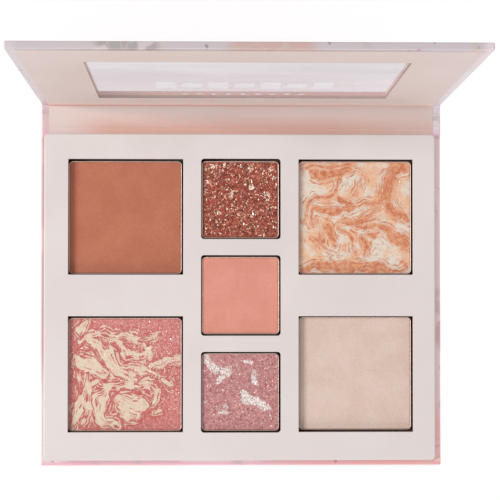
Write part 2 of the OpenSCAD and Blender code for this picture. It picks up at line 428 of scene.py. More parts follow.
def printed_paper():
    """Marbled print under a satin laminate, in mauve, rose and lilac with grey veins.

    Places on the flat sheet are in millimetres. Across runs from the left side at -65.9
    to the right at 65.9. Along runs from the front edge at -55.2 over the base to 55.2,
    over the spine to 66.3 and over the lid to its free edge at about 177.
    """
    s = Shader("printed_paper")
    wide = s.place(sheet=True, warp=16 * MM, warp_scale=28)
    fine = s.place(sheet=True, warp=5 * MM, warp_scale=90)
    plain = s.place(sheet=True)
    across, along, up = s.axes(plain)
    patches = s.noise(wide, 26, detail=4, rough=0.55)
    tone = s.mix(s.band(patches, 0.36, 0.47), rgb(222, 202, 207), rgb(206, 168, 177))
    tone = s.paint(tone, rgb(206, 152, 156), s.band(patches, 0.53, 0.62))
    tone = print_base(s, tone, across, along)
    free_edge = s.region((along, 171, 174.5))
    tone = print_lid(s, tone, across, along, fine, free_edge)
    tone = print_veins(s, tone, wide, fine)
    # the lid's side edges in lilac, the left one darker as painted shade
    rims = s.region((along, 70, 80), (s.distance(across, 0), 62.0, 64.5), strength=0.7)
    lilac = s.mix(s.region((across, -10, 10)), rgb(188, 182, 186), rgb(204, 195, 203))
    tone = s.paint(tone, lilac, rims)
    tone = print_specks(s, tone, plain, fine, free_edge)
    # The paper turned down into the window is rosy.
    window = s.region((up, 0.15, 0.3), (along, 158, 157), (along, 80, 81),
                      (s.distance(across, 0), 48.0, 47.5))
    tone = s.paint(tone, rgb(232, 190, 178), window)
    tooth = s.noise(plain, 1500, detail=3)
    s.set(
        Base_Color=tone,
        Roughness=s.band(tooth, 0.3, 0.7, 0.34, 0.42),
        Specular_IOR_Level=0.5,
        Coat_Weight=0.15,
        Coat_Roughness=0.3,
        Normal=s.bump(tooth, 0.01 * MM, 0.35),
    )
    return s.material


def print_base(s, tone, across, along):
    """The base's corners, the spine and the base's rims.

    Each place has its strength, the fades that bound it, and its colour, or the fade
    between its two colours and the colours.
    """
    behind_front = ((along, 54, 52), (along, -54.5, -53.5))
    places = (
        (0.8, ((across, 0, 50), (along, -20, -45)), (210, 146, 146)),
        (0.8, ((across, 20, 60), (along, 53, 56)), (212, 202, 210)),
        (0.6, ((along, 55.5, 56.5), (along, 66.5, 65.5)),
         (across, -20, 20), (196, 175, 174), (208, 199, 206)),
        # The rims: mauve along the front, dusky at the left as painted shade and pale rose
        # at the right as painted light.
        (0.85, ((along, -53.5, -54.5),), (across, 0, 30), (204, 158, 168), (206, 150, 152)),
        (0.85, ((across, -62.0, -64.5), *behind_front),
         (along, -15, -35), (164, 132, 134), (192, 182, 180)),
        (0.85, ((across, 63.0, 64.8), *behind_front),
         (along, -30, -45), (246, 219, 224), (248, 196, 196)),
    )
    for strength, fades, *split, colour in places:
        shade = rgb(*colour)
        if split:
            fade, other = split
            shade = s.mix(s.region(fade), rgb(*other), shade)
        tone = s.paint(tone, shade, s.region(*fades, strength=strength))
    return tone


def print_lid(s, tone, across, along, fine, free_edge):
    """The greyer lid, and its free edge with a stone-grey stretch and a salmon one."""
    grey = s.mix(s.blot(fine, 60, 3, 0.3, 0.7), rgb(200, 190, 196), rgb(208, 198, 203))
    tone = s.paint(tone, grey, s.region((along, 66, 90), strength=0.75))
    tone = s.paint(tone, rgb(174, 166, 170), free_edge, 0.85)
    mottle = s.blot(fine, 160, 3, 0.44, 0.56)
    stone = s.mix(mottle, rgb(146, 138, 140), rgb(186, 176, 176))
    for centre, out, full, shade in ((-33, 10, 7, stone), (6, 14, 9, rgb(182, 148, 142))):
        stretch = s.region((s.distance(across, centre * MM), out, full))
        tone = s.paint(tone, shade, stretch, free_edge, 0.8)
    return tone


def print_veins(s, tone, wide, fine):
    """Grey and stone-coloured veins, and patches of salmon and slate."""
    vein = s.band(s.distance(s.noise(wide, 17, detail=5), 0.5), 0.016, 0.002)
    tone = s.paint(tone, rgb(166, 158, 156), vein, s.blot(fine, 30, 2, 0.45, 0.65))
    vein = s.band(s.distance(s.noise(fine, 34, detail=4), 0.52), 0.008, 0.0, 0.0, 0.55)
    tone = s.paint(tone, rgb(176, 170, 158), vein)
    tone = s.paint(tone, rgb(206, 166, 160), s.blot(fine, 20, 3, 0.6, 0.64, 0.7, twist=0.6))
    slate = s.blot(wide, 33, 5, 0.62, 0.66, 0.75, rough=0.6, twist=0.4)
    return s.paint(tone, rgb(176, 170, 172), slate)


def print_specks(s, tone, plain, fine, free_edge):
    """Dark splashes of ink in some places and all along the free edge."""
    dots = s.band(s.cells(fine, 420, "Distance"), 0.34, 0.2)
    chosen = s.band(s.axis(s.cells(fine, 420), "X"), 0.8, 0.84)
    where = s.math("MAXIMUM", s.blot(plain, 45, 2, 0.48, 0.56), free_edge)
    return s.paint(tone, rgb(132, 112, 126), dots, chosen, where, 0.8)


def greyboard(name, light, deep):
    """Pulped card with darker layers at its cut edges."""
    s = Shader(name)
    layers = s.blot(s.place(stretch=(0.15, 0.15, 1)), 5000, 3, 0.4, 0.7, 0.4)
    fibre = s.noise(s.place(), 1800, detail=5, rough=0.7)
    tone = s.paint(s.mix(fibre, deep, light), deep, layers)
    s.set(Base_Color=tone, Roughness=0.9, Specular_IOR_Level=0.2,
          Normal=s.bump(fibre, 0.06 * MM, 0.8))
    return s.material


def pan_metal(name, tint, rough):
    s = Shader(name)
    at = s.place()
    grain = s.noise(s.place(stretch=(1, 1, 0.12)), 2400, detail=4, rough=0.6)
    stain_and_painted_light = s.noise(at, 300, detail=4)
    tone = s.mix(s.band(stain_and_painted_light, 0.45, 0.75, 0.0, 0.45), tint, rgb(186, 170, 160))
    s.set(
        Base_Color=tone,
        Metallic=1.0,
        Roughness=s.band(stain_and_painted_light, 0.3, 0.7, rough, rough + 0.12),
        Normal=s.bump(grain, 0.01 * MM, 0.5),
    )
    return s.material


def window_film():
    """Clear plastic: it lets light straight through and mirrors a little of it."""
    s = Shader("clear_film")
    haze = s.noise(s.place(), 35, detail=3)
    streaks = s.blot(s.place(stretch=(0.2, 1, 1)), 90, 1, 0.35, 0.65)
    tint = s.mix(streaks, rgb(243, 242, 243), rgb(239, 238, 240))
    tint = s.paint(tint, rgb(236, 234, 235), s.band(haze, 0.3, 0.7, 0.0, 0.4))
    clear = s.node("BsdfTransparent", 0, {"Color": tint})
    s.set(Base_Color=s.mix(haze, rgb(232, 228, 232), rgb(226, 222, 228)), Roughness=0.08,
          Specular_IOR_Level=0.5, Normal=s.bump(haze, 0.2 * MM, 0.15))
    glance = s.node("LayerWeight", "Facing", {"Blend": 0.12})
    share = s.math("MULTIPLY_ADD", glance, 0.22, 0.05)
    both = s.node("MixShader", 0, {0: share, 1: clear, 2: s.surface.outputs[0]})
    s.feed(s.tree.nodes["Material Output"].inputs["Surface"], both)
    return s.material


def white_ink():
    s = Shader("white_ink")
    grain = s.noise(s.place(), 1600, detail=3)
    s.set(Base_Color=s.mix(grain, rgb(229, 232, 238), rgb(223, 227, 233)), Roughness=0.5,
          Normal=s.bump(grain, 0.01 * MM, 0.3))
    return s.material


def soft_pad(name, light, dark, scale):
    s = Shader(name)
    bubbles = s.cells(s.place(), scale, "Distance")
    s.set(Base_Color=s.mix(bubbles, dark, light), Roughness=0.8,
          Normal=s.bump(bubbles, 0.05 * MM, 0.6))
    return s.material


def pressed(s, tone, grain=1.0, rough=0.9, metal=0.0, gloss=0.08):
    """Finishes a powder: fine grain, press marks and the soft glow of loose dust."""
    at = s.place()
    dust = s.noise(at, 5200, detail=4, rough=0.7)
    clumps = s.noise(at, 1500, detail=4, rough=0.6)
    press = s.noise(at, 240, detail=3)
    tone = s.paint(tone, (0.2, 0.1, 0.07, 1), s.band(clumps, 0.4, 0.75, 0.0, 0.12))
    s.set(
        Base_Color=s.paint(tone, (1, 0.93, 0.87, 1), s.band(dust, 0.45, 0.8, 0.0, 0.12)),
        Roughness=rough,
        Metallic=metal,
        Specular_IOR_Level=gloss,
        Sheen_Weight=0.02,
        Sheen_Roughness=0.5,
        Normal=s.bump(dust, 0.03 * MM * grain, 0.7, s.bump(
            clumps, 0.04 * MM * grain, 0.5, s.bump(press, 0.02 * MM, 0.3))),
    )
    return s.material


def matte_powder(name, light, deep):
    s = Shader(name)
    return pressed(s, s.mix(s.blot(s.place(), 120, 4, 0.35, 0.65), light, deep))


def highlighter_powder():
    """Baked marble: feathered bands of warm orange drawn through cream and peach."""
    s = Shader("powder_highlighter")
    soft = s.blot(s.place(warp=3 * MM, warp_scale=150), 190, 4, 0.4, 0.6)
    ground = s.mix(soft, rgb(202, 193, 180), rgb(208, 166, 136))
    veil = s.noise(s.place(warp=4 * MM, warp_scale=260), 650, detail=5, rough=0.65)
    orange = s.mix(s.band(veil, 0.35, 0.65), rgb(176, 98, 64), rgb(200, 138, 102))
    drawn = s.place(warp=5 * MM, warp_scale=170, stretch=(1, 1.5, 1))
    thread = s.band(s.distance(s.noise(drawn, 210, detail=4), 0.5), 0.022, 0.004, 0.0, 0.6)
    ground = s.paint(ground, orange, thread, s.blot(s.place(), 260, 2, 0.4, 0.6))
    tone = s.paint(ground, orange, s.band(s.fold(0.35, 1100), 0.06, 0.8))
    tone = s.paint(tone, rgb(222, 186, 150), s.band(veil, 0.6, 0.75, 0.0, 0.45))
    return pressed(s, tone, rough=0.55, metal=0.1, gloss=0.3)


def rose_powder():
    """Rose shimmer with cream folded through it in long drawn strokes."""
    s = Shader("powder_rose")
    fold = s.fold(0.3, 1200)
    grain = s.blot(s.place(), 1500, 4, 0.32, 0.68, rough=0.75)
    rose = s.mix(grain, rgb(164, 80, 76), rgb(200, 132, 130))
    outline = (s.band(fold, 0.02, 0.2), s.band(fold, 0.5, 0.25), 0.8)
    rose = s.paint(rose, rgb(160, 64, 53), *outline)
    veil = s.blot(s.place(warp=4 * MM, warp_scale=260), 700, 4, 0.42, 0.8)
    cream = s.mix(veil, rgb(200, 186, 166), rgb(204, 166, 152))
    tone = s.paint(rose, cream, s.band(fold, 0.2, 0.75))
    return pressed(s, tone, rough=0.6, metal=0.1, gloss=0.3)


def copper_powder():
    s = Shader("powder_copper")
    grains = s.cells(s.place(), 1500)
    tone = s.mix(s.axis(grains, "X"), rgb(96, 34, 26), rgb(164, 76, 58))
    tone = s.mix(s.band(s.axis(grains, "Y"), 0.9, 0.95), tone, rgb(140, 104, 80))
    return pressed(s, tone, grain=2.0, rough=0.5, metal=0.2, gloss=0.3)


def mauve_powder():
    """Mauve shimmer with broken silver patches."""
    s = Shader("powder_mauve")
    grain = s.blot(s.place(), 1100, 4, 0.3, 0.7, rough=0.75)
    mauve = s.mix(grain, rgb(148, 87, 88), rgb(190, 139, 138))
    tone = s.paint(mauve, rgb(216, 210, 206), s.band(s.fold(1.5, 620), 0.25, 1.05))
    return pressed(s, tone, grain=1.6, rough=0.5, metal=0.1, gloss=0.3)


def flake_metal(name, colours, metal, rough):
    """Glitter whose flakes each take one of a few colours from where they lie."""
    s = Shader(name)
    pick = s.axis(s.cells(s.place(), 2200), "X")
    tone = colours[0]
    for i, colour in enumerate(colours[1:], 1):
        edge = i / len(colours)
        tone = s.mix(s.band(pick, edge - 0.01, edge + 0.01), tone, colour)
    s.set(Base_Color=tone, Metallic=metal, Roughness=rough)
    return s.material


# ---------------------------------------------------------------- case


def printed_panel(name, body, material, place, unrolled, window=None):
    """A board wrapped in print: soft edges all round, and a lined window if it has one."""
    centre = (0, PANEL_L / 2)
    loops = slab_loops(CASE_W, PANEL_L, PANEL_CORNER, 0, PANEL_T, PANEL_EDGE, centre)
    if window is not None:
        flap = PANEL_T * 0.58
        # Down inside the board, out over the paper flap's end and down the window's wall.
        down = [(-0.6, PANEL_T), (-0.4, PANEL_T), (-0.4, flap), (-0.05, flap),
                (0, flap - 0.05 * MM), (0, 0.2 * MM), (-0.06, 0.06 * MM), (-0.2, 0), (-0.5, 0)]
        loops += hole_loops(window, [(inset * MM, z) for inset, z in down])
    part = loft(loops, closed=window is not None)
    piece = build(name, part, material, place)
    unroll_sheet(piece, unrolled)
    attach(piece, body)
    return piece


def make_spine_wrap(material):
    """The spine's wrap: a long slab whose edges are half-round on the two fold axes."""
    r = PANEL_T / 2
    nose = r - 0.02 * MM    # hidden under the paper that bridges the fold
    front, rear = LOWER_AXIS.y + 0.2 * MM, UPPER_AXIS.y - 0.2 * MM
    section = [(front, 0), (rear, 0)] + arc(UPPER_AXIS.y, UPPER_AXIS.z, nose, -90, 90, 12)
    section += [(rear, PANEL_T), (front, PANEL_T)]
    section += arc(LOWER_AXIS.y, LOWER_AXIS.z, nose, 90, 270, 12)
    edge = 0.3 * MM
    loops = []
    for inset, x in edge_arc(edge, edge, -90, 0) + edge_arc(CASE_W - edge, edge, 0, 90):
        shrink = 1 - inset / r
        loops.append([(x - CASE_W / 2, y, r + (z - r) * shrink) for y, z in section])
    piece = build("wrap_spine", loft(loops), material)
    unroll_sheet(piece, flat_on_base)
    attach(piece, "spine")
    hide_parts("spine_wrap")


def strip(name, path, width, depth, material, flat, flap=0.0, flap_inset=0.35 * MM):
    """A strip of paper along X whose outer surface follows path, in (y, z) points.

    flat is where it lies on the printed sheet: its first and last place along the
    sheet, and its height. flap is how deep the paper tucked in near both ends goes, and
    flap_inset how far in from the ends it stands.
    """
    flap_t, slant = 0.15 * MM, 0.02 * MM
    points = np.array(path, float)
    along = np.gradient(points, axis=0)
    along /= np.linalg.norm(along, axis=1, keepdims=True)
    inward = np.stack([-along[:, 1], along[:, 0]], axis=1)
    stations = [(width / 2, depth)]
    if flap:
        near = width / 2 - flap_inset
        far = near - flap_t
        stations += [(near, depth), (near - slant, flap), (far, flap), (far - slant, depth)]
    stations = [(-x, deep) for x, deep in stations] + stations[::-1]
    loops = []
    for x, deep in stations:
        section = np.concatenate([points, (points + deep * inward)[::-1]])
        loops.append([(x, y, z) for y, z in section])
    piece = build(name, loft(loops), material)
    steps = np.concatenate([[0], np.cumsum(np.linalg.norm(np.diff(points, axis=0), axis=1))])
    along_flat = flat[0] + (flat[1] - flat[0]) * steps / steps[-1]
    along_flat = np.concatenate([along_flat, along_flat[::-1]])
    store_sheet(piece, [(x, y, flat[2]) for x, _ in stations for y in along_flat])
    return piece


def arc(cy, cz, r, start, end, steps=10):
    return [(cy + r * math.cos(a), cz + r * math.sin(a))
            for a in np.radians(np.linspace(start, end, steps + 1))]


def lid_yz(y, z):
    """A point in the lid's own frame as (y, z) in the part's frame."""
    point = LID @ Vector((0, y, z))
    return point.y, point.z


FOLD_R = PANEL_T / 2
FOLD_LAP = 0.4 * MM        # how far the outer bridge laps over the boards' soft edges
FOLD_OUTER_T = 0.1 * MM
FOLD_INNER_T = 0.08 * MM
FOLD_FLAP = 0.9 * FOLD_R
INNER_FLAP_INSET = 0.45 * MM


def inner_layers(place, materials):
    """The wrap turned in and the liner over it, inside the lower or the upper fold.

    Each is its name, height over the board, width, material, slot and flap depth.
    """
    print_material, liner_material = materials
    return (
        (f"wrap_fold_{place}_inner", 0.0, CASE_W, print_material, "printed_paper", FOLD_FLAP),
        (f"liner_fold_{place}", LINER_T, LINER_W, liner_material, "liner_paper", 0.0),
    )


def make_lower_fold(materials):
    """Flat under the gap between the base and the spine, and a shallow groove inside."""
    low_y = LOWER_AXIS.y
    y0, y1 = REAR_Y - FOLD_LAP, low_y + FOLD_LAP
    piece = strip("wrap_fold_lower", [(y, 0.0) for y in np.linspace(y0, y1, 9)], CASE_W,
                  FOLD_OUTER_T, materials[0], (y0, y1, 0.0), FOLD_FLAP)
    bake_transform(piece)
    groove, groove_width = 0.12 * MM, 0.16
    for name, proud, width, material, slot, flap in inner_layers("lower", materials):
        top = PANEL_T + proud
        ys = np.linspace(y0, y1, 15)
        t = (ys - y0) / (y1 - y0)
        dips = groove * np.exp(-((t - 0.5) / groove_width) ** 2)
        path = [(y, top - dip) for y, dip in zip(ys[::-1], dips)]
        piece = strip(name, path, width, FOLD_INNER_T, material, (y1, y0, top), flap,
                      INNER_FLAP_INSET)
        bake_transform(piece)


def make_upper_fold(materials):
    """Round the spine's rear edge and up the lid, and a small cove inside.

    Returns where the liner's cove starts, which is where its spine stretch ends.
    """
    up_y, up_z = UPPER_AXIS.y, UPPER_AXIS.z
    path = arc(up_y, up_z, FOLD_R, -90, -math.degrees(LEAN))
    path += [lid_yz(y, 0.0) for y in np.linspace(-0.2, 0.5, 5) * MM]
    flat_end = up_y + FOLD_R + CREASE_GAP + 0.5 * MM
    piece = strip("wrap_fold_upper", path, CASE_W, FOLD_OUTER_T, materials[0],
                  (up_y, flat_end, 0.0), FOLD_FLAP)
    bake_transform(piece)
    for name, proud, width, material, slot, flap in inner_layers("upper", materials):
        floor_z = PANEL_T + proud
        end_y, end_z = lid_yz(FOLD_LAP + 0.1 * MM, floor_z)
        cove = end_z - floor_z
        start_y = end_y - cove
        path = [(start_y, floor_z)]
        path += arc(start_y, floor_z + cove, cove, -90, 0)[1:]
        piece = strip(name, path[::-1], width, FOLD_INNER_T, material,
                      (flat_end, start_y, PANEL_T), flap, INNER_FLAP_INSET)
        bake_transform(piece)
    return start_y


def make_case():
    """The three wrapped boards, the folds between them and the liner."""
    print_material, liner_material = printed_paper(), liner_paper()
    turn = Matrix.Translation((0, REAR_Y, 0)) @ Matrix.Rotation(math.pi, 4, "Z")
    base = printed_panel("wrap_base", "base", print_material, turn, flat_on_base)
    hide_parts("base_wrap")
    window = (WINDOW_W, WINDOW_L, (0, WINDOW_Y))
    lid = printed_panel("wrap_lid", "lid", print_material, LID, flat_on_lid, window)
    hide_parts("lid_wrap")
    make_spine_wrap(print_material)
    make_lower_fold((print_material, liner_material))
    cove_start = make_upper_fold((print_material, liner_material))
    make_liner(liner_material, window, cove_start)


def make_liner(liner_material, window, cove_start):
    """The liner: a strip on the base, a strip on the spine and a frame on the lid."""
    under_block = 3 * MM
    strips = (
        ("liner_spine", "spine", LOWER_AXIS.y + FOLD_LAP, cove_start, "spine_liner"),
        ("liner_base", "base", BLOCK_HI.y - under_block, REAR_Y - FOLD_LAP, "base_liner"),
    )
    for name, body, y0, y1, node in strips:
        loops = slab_loops(LINER_W, y1 - y0, 0.1 * MM, PANEL_T, PANEL_T + LINER_T,
                           LINER_EDGE, (0, (y0 + y1) / 2), 0.05 * MM)
        piece = build(name, loft(loops), liner_material)
        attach(piece, body)
        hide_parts(node)
    start = 0.5 * MM
    length = PANEL_L - LINER_INSET - start
    loops = ring_loops((LINER_W, length, (0, start + length / 2)), window,
                       PANEL_T, PANEL_T + LINER_T, LINER_EDGE)
    part = loft(loops, closed=True)
    piece = build("liner_lid", part, liner_material, LID)
    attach(piece, "lid")
    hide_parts("lid_liner")


RIPPLE = 0.02 * MM


def film_sag(x, y):
    """Height of the film's slow ripples, in metres, in the lid's own frame."""
    across = math.sin(x / (17 * MM) + 1.1 * math.sin(y / (21 * MM)))
    return RIPPLE * (across + math.sin(y / (12 * MM) + 0.8) - 2)


def make_film():
    """Clear film with slow ripples, and the white ornament printed on it."""
    w, d = WINDOW_W + 2 * FILM_MARGIN, WINDOW_L + 2 * FILM_MARGIN
    columns, rows = 52, 42
    xs = np.linspace(-w / 2, w / 2, columns)
    ys = np.linspace(WINDOW_Y - d / 2, WINDOW_Y + d / 2, rows)
    verts = []
    for depth in (PANEL_T, PANEL_T - FILM_T):
        verts += [(x, y, depth + film_sag(x, y)) for y in ys for x in xs]
    quads, rim = grid(columns, rows)
    below = rows * columns
    faces = quads + [tuple(v + below for v in reversed(quad)) for quad in quads]
    for a, b in zip(rim, rim[1:] + rim[:1]):
        faces.append((b, a, a + below, b + below))
    piece = build("film_lid", (verts, faces), window_film(), LID)
    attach(piece, "lid")
    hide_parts("window_film")
    make_ornament()


def bar(w, d):
    return [(w / 2, -d / 2), (w / 2, d / 2), (-w / 2, d / 2), (-w / 2, -d / 2)]


DIAMOND = [(1.13, 0), (0, 1.13), (-1.13, 0), (0, -1.13)]
# Rows of ornament: how many, how far apart, their y on the lid and their outline, in mm.
ORNAMENT = (
    (9, 4.6, 26, DIAMOND),
    (4, 16, 44.5, bar(6.2, 13)),
    (3, 16, 44.5, bar(6.2, 9)),
    (6, 6.6, 60, bar(5, 0.5)),
)
INK_HEIGHTS = (0.005 * MM, 0.02 * MM)


def ink_patch(outline, x, y):
    """One flat patch of ink on the film at (x, y) in millimetres in the lid's own frame."""
    flat = [((x + dx) * MM, (y + dy) * MM) for dx, dy in outline]
    return loft([[(px, py, PANEL_T + film_sag(px, py) + lift) for px, py in flat]
                 for lift in INK_HEIGHTS])


def make_ornament():
    """Plain geometric ornament in white ink: diamonds, bars and a fine broken line."""
    verts, faces = [], []
    for count, pitch, y, outline in ORNAMENT:
        for i in range(count):
            join(verts, faces, ink_patch(outline, (i - (count - 1) / 2) * pitch, y))
    piece = build("ornament_lid", (verts, faces), white_ink(), LID)
    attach(piece, "lid")
    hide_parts("window_print")


# ---------------------------------------------------------------- block

COLUMN_PITCH = 37.65 * MM
LARGE_PITCH = 51.4 * MM
SMALL_PITCH = 31.6 * MM
LARGE_WELL = (37.6 * MM, 37.9 * MM, 0.12 * MM)
SMALL_WELL = (26.1 * MM, 26.4 * MM, 1.0 * MM)
# The middle of the wells stands a little right of the block's, and further back.
GRID = middle(BLOCK_LO, BLOCK_HI) + Vector((0.3 * MM, 0.5 * MM))
BLOCK_R = 1.5 * MM
PAPER_LAP = 0.04 * MM    # the paper turned into each well hides the card's cut edge
PAPER_TURN = 1.2 * MM    # how far down the wells it reaches
PAPER_T = 0.1 * MM       # and how thick it is


def wells():
    """(width, depth, corner radius, centre) of each well in the block."""
    found = []
    for column in (-1, 1):
        for row in (-0.5, 0.5):
            centre = (GRID.x + column * COLUMN_PITCH, GRID.y + row * LARGE_PITCH)
            found.append((*LARGE_WELL, centre))
    for row in (-1, 0, 1):
        found.append((*SMALL_WELL, (GRID.x, GRID.y + row * SMALL_PITCH)))
    return found


def sheet_with_holes(verts, rims, faces_up):
    """Triangles that fill a flat sheet between its outer rim and the rims of its holes."""
    order = [i for rim in rims for i in rim]
    faces = []
    for triangle in tessellate_polygon([[Vector(verts[i]) for i in rim] for rim in rims]):
        a, b, c = (order[i] for i in triangle)
        p, q, s = (Vector(verts[i]) for i in (a, b, c))
        upward = (q - p).cross(s - p).z > 0
        faces.append((a, b, c) if upward == faces_up else (a, c, b))
    return faces


def make_block(material):
    """The cream paper: a flat top with seven wells, soft lips and rounded outer edges."""
    edge, lip = 0.4 * MM, 0.1 * MM
    support = 0.3 * MM
    top = BLOCK_HI.z
    w, d = BLOCK_HI.x - BLOCK_LO.x, BLOCK_HI.y - BLOCK_LO.y
    centre = middle(BLOCK_LO, BLOCK_HI)
    under = top - PAPER_T
    sides = [(PAPER_T, under), (PAPER_T, BLOCK_LO.z), (0, BLOCK_LO.z)]
    sides += edge_arc(top - edge, edge, 0, 90) + [(edge + support, top)]
    contours = [[level(w, d, BLOCK_R, z, inset, centre) for inset, z in sides]]
    for well_w, well_d, r, at in wells():
        well_w, well_d = well_w - 2 * PAPER_LAP, well_d - 2 * PAPER_LAP
        back = 0.9 * PAPER_LAP
        walls = [(back, under), (back, top - PAPER_TURN), (0, top - PAPER_TURN), (0, top - lip)]
        walls += edge_arc(top - lip, lip, 0, 90, 3)[1:] + [(lip + support, top)]
        contours.append([level(well_w, well_d, r, z, -out, at)[::-1] for out, z in walls])
    verts, faces, unders, tops = [], [], [], []
    for loops in contours:
        count = len(loops[0])
        first = join(verts, faces, loft(loops, capped=False))
        unders.append(range(first, first + count))
        tops.append(range(len(verts) - count, len(verts)))
    faces += sheet_with_holes(verts, tops, True) + sheet_with_holes(verts, unders, False)
    piece = build("block_paper", (verts, faces), material)
    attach(piece, "base")
    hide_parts("block_wrap")


# ---------------------------------------------------------------- pans and powders


PAN_CORNER = 1.4 * MM
PAN_WALL = 0.32 * MM
PAN_FOOT = 0.5 * MM     # radius between the wall and the floor
PAN_LIP = PAN_WALL / 2
PAN_NECK = 0.5 * MM     # straight wall under the rolled lip
PAN_FLAT = 2 * MM       # where the floor turns flat, in from the foot


def make_pan(shade, material):
    """A pressed metal pan: rounded foot, thin wall, rolled bright rim and dished floor."""
    lo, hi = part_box("pan_" + shade)
    side, centre = hi.x - lo.x, middle(lo, hi)
    lip_z = hi.z - PAN_LIP
    profile = [(PAN_FOOT + PAN_FLAT, lo.z + 0.05 * MM), (PAN_FOOT + 0.3 * MM, lo.z)]
    profile += edge_arc(lo.z + PAN_FOOT, PAN_FOOT, -90, 0)
    profile.append((0, lip_z - PAN_NECK))
    profile += edge_arc(lip_z, PAN_LIP, 0, 180, 8)
    profile.append((PAN_WALL, lip_z - PAN_NECK))
    inner = edge_arc(lo.z + PAN_WALL + PAN_FOOT, PAN_FOOT, -90, 0)
    profile += [(PAN_WALL + inset, z) for inset, z in reversed(inner)]
    profile += [(PAN_WALL + PAN_FOOT + PAN_FLAT, lo.z + PAN_WALL)]
    loops = [level(side, side, PAN_CORNER, z, inset, centre) for inset, z in profile]
    piece = build("pan_metal_" + shade, loft(loops), material)
    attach(piece, "base")
    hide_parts("pan_" + shade)


class Waves:
    """A smooth bumpy height made of many sine waves in random directions."""

    COUNT = 24

    def __init__(self, seed, length, height):
        count = self.COUNT
        random = np.random.default_rng(seed)
        angle = random.uniform(0, 2 * math.pi, count)
        number = 2 * math.pi / (length * random.uniform(0.6, 1.8, count))
        self.kx, self.ky = number * np.cos(angle), number * np.sin(angle)
        self.phase = random.uniform(0, 2 * math.pi, count)
        self.scale = height / math.sqrt(count)

    def __call__(self, x, y):
        x, y = np.asarray(x)[..., None], np.asarray(y)[..., None]
        return self.scale * np.sin(self.kx * x + self.ky * y + self.phase).sum(-1)


def smooth_path(points):
    """Cuts the corners off a path of (x, y) points in millimetres; returns metres."""
    path = np.array(points, float) * MM
    for _ in range(3):
        a, b = path[:-1], path[1:]
        cut = np.stack([0.75 * a + 0.25 * b, 0.25 * a + 0.75 * b], axis=1)
        path = np.concatenate([path[:1], cut.reshape(-1, 2), path[-1:]])
    return path


class Marbling:
    """How much of a second shade lies at each point of a powder, from drawn strokes.

    Lengths are in millimetres. edge is how softly a stroke ends. inside and outside are
    how strong the thin drawn lines are in a stroke and beyond it, reach is how far beyond
    it they go, and pitch is how far apart they lie. swell widens every stroke.
    """

    SLOWEST, SLOW, QUICK = (9 * MM, 0.5 * MM), (3.2 * MM, 0.2 * MM), (1.2 * MM, 0.06 * MM)
    THIN_FROM, THIN_FADE = 0.35, 0.5    # how high a wave has to be to draw a line
    LINE_DEPTH = 2.0    # how deep in a stroke the lines get weaker
    STAIN = 0.12        # the second shade spread thinly round the strokes

    def __init__(self, strokes, seed, edge, inside, outside, reach, pitch, swell=1.0):
        self.strokes = [(width * swell * MM, smooth_path(points)) for width, *points in strokes]
        waves = (self.SLOWEST, self.SLOW, self.QUICK)
        self.push = [
            [Waves(seed + first + i, *wave) for i, wave in enumerate(waves)]
            for first in (0, len(waves))
        ]
        self.phase = Waves(seed + 9, 7 * MM, 2.2)
        self.gate = Waves(seed + 10, 4 * MM, 1.0)
        self.edge, self.inside, self.outside = edge, inside, outside
        self.reach, self.pitch = reach, pitch

    def nearest(self, x, y):
        """Depth inside the nearest stroke and signed distance across it, in millimetres."""
        x, y = [side + sum(wave(x, y) for wave in waves)
                for side, waves in zip((x, y), self.push)]
        depth = np.full(x.shape, -9.0)
        across = np.zeros(x.shape)
        for number, (width, path) in enumerate(self.strokes):
            for i, ((ax, ay), (bx, by)) in enumerate(zip(path, path[1:])):
                along = (i + 0.5) / (len(path) - 1)
                half = width * (0.3 + 0.7 * math.sin(math.pi * along) ** 0.6)
                ux, uy = bx - ax, by - ay
                t = np.clip(((x - ax) * ux + (y - ay) * uy) / (ux * ux + uy * uy), 0, 1)
                dx, dy = x - ax - t * ux, y - ay - t * uy
                away = np.hypot(dx, dy)
                side = np.sign(ux * dy - uy * dx)
                inner = (half - away) / MM
                across = np.where(inner > depth, side * away / MM + 1.7 * number, across)
                depth = np.maximum(depth, inner)
        return depth, across

    def __call__(self, x, y):
        depth, across = self.nearest(x, y)
        turn = self.phase(x, y)
        lines = np.sin(2 * math.pi * across / self.pitch + 0.5 * turn)
        lines += 0.5 * np.sin(3.4 * math.pi * across / self.pitch - turn)
        rings = np.sin(2 * math.pi * depth / self.pitch + 0.4 * turn)
        thin = np.clip((np.maximum(lines, rings) - self.THIN_FROM) / self.THIN_FADE, 0, 1)
        gate = np.clip(0.8 + 0.6 * self.gate(x, y), 0, 1)
        body = np.clip(0.5 + depth / (2 * self.edge), 0, 1)
        near = np.exp(-(np.minimum(depth, 0) / self.reach) ** 2)
        shallow = np.exp(-(np.maximum(depth, 0) / self.LINE_DEPTH) ** 2)
        body = body * (1 - self.inside * thin * gate * (0.5 + 0.5 * shallow))
        halo = (1 - body) * near * self.outside * thin * gate
        amount = body + np.where(depth < 0, halo, 0)
        return np.clip(np.maximum(amount, self.STAIN * near), 0, 1)


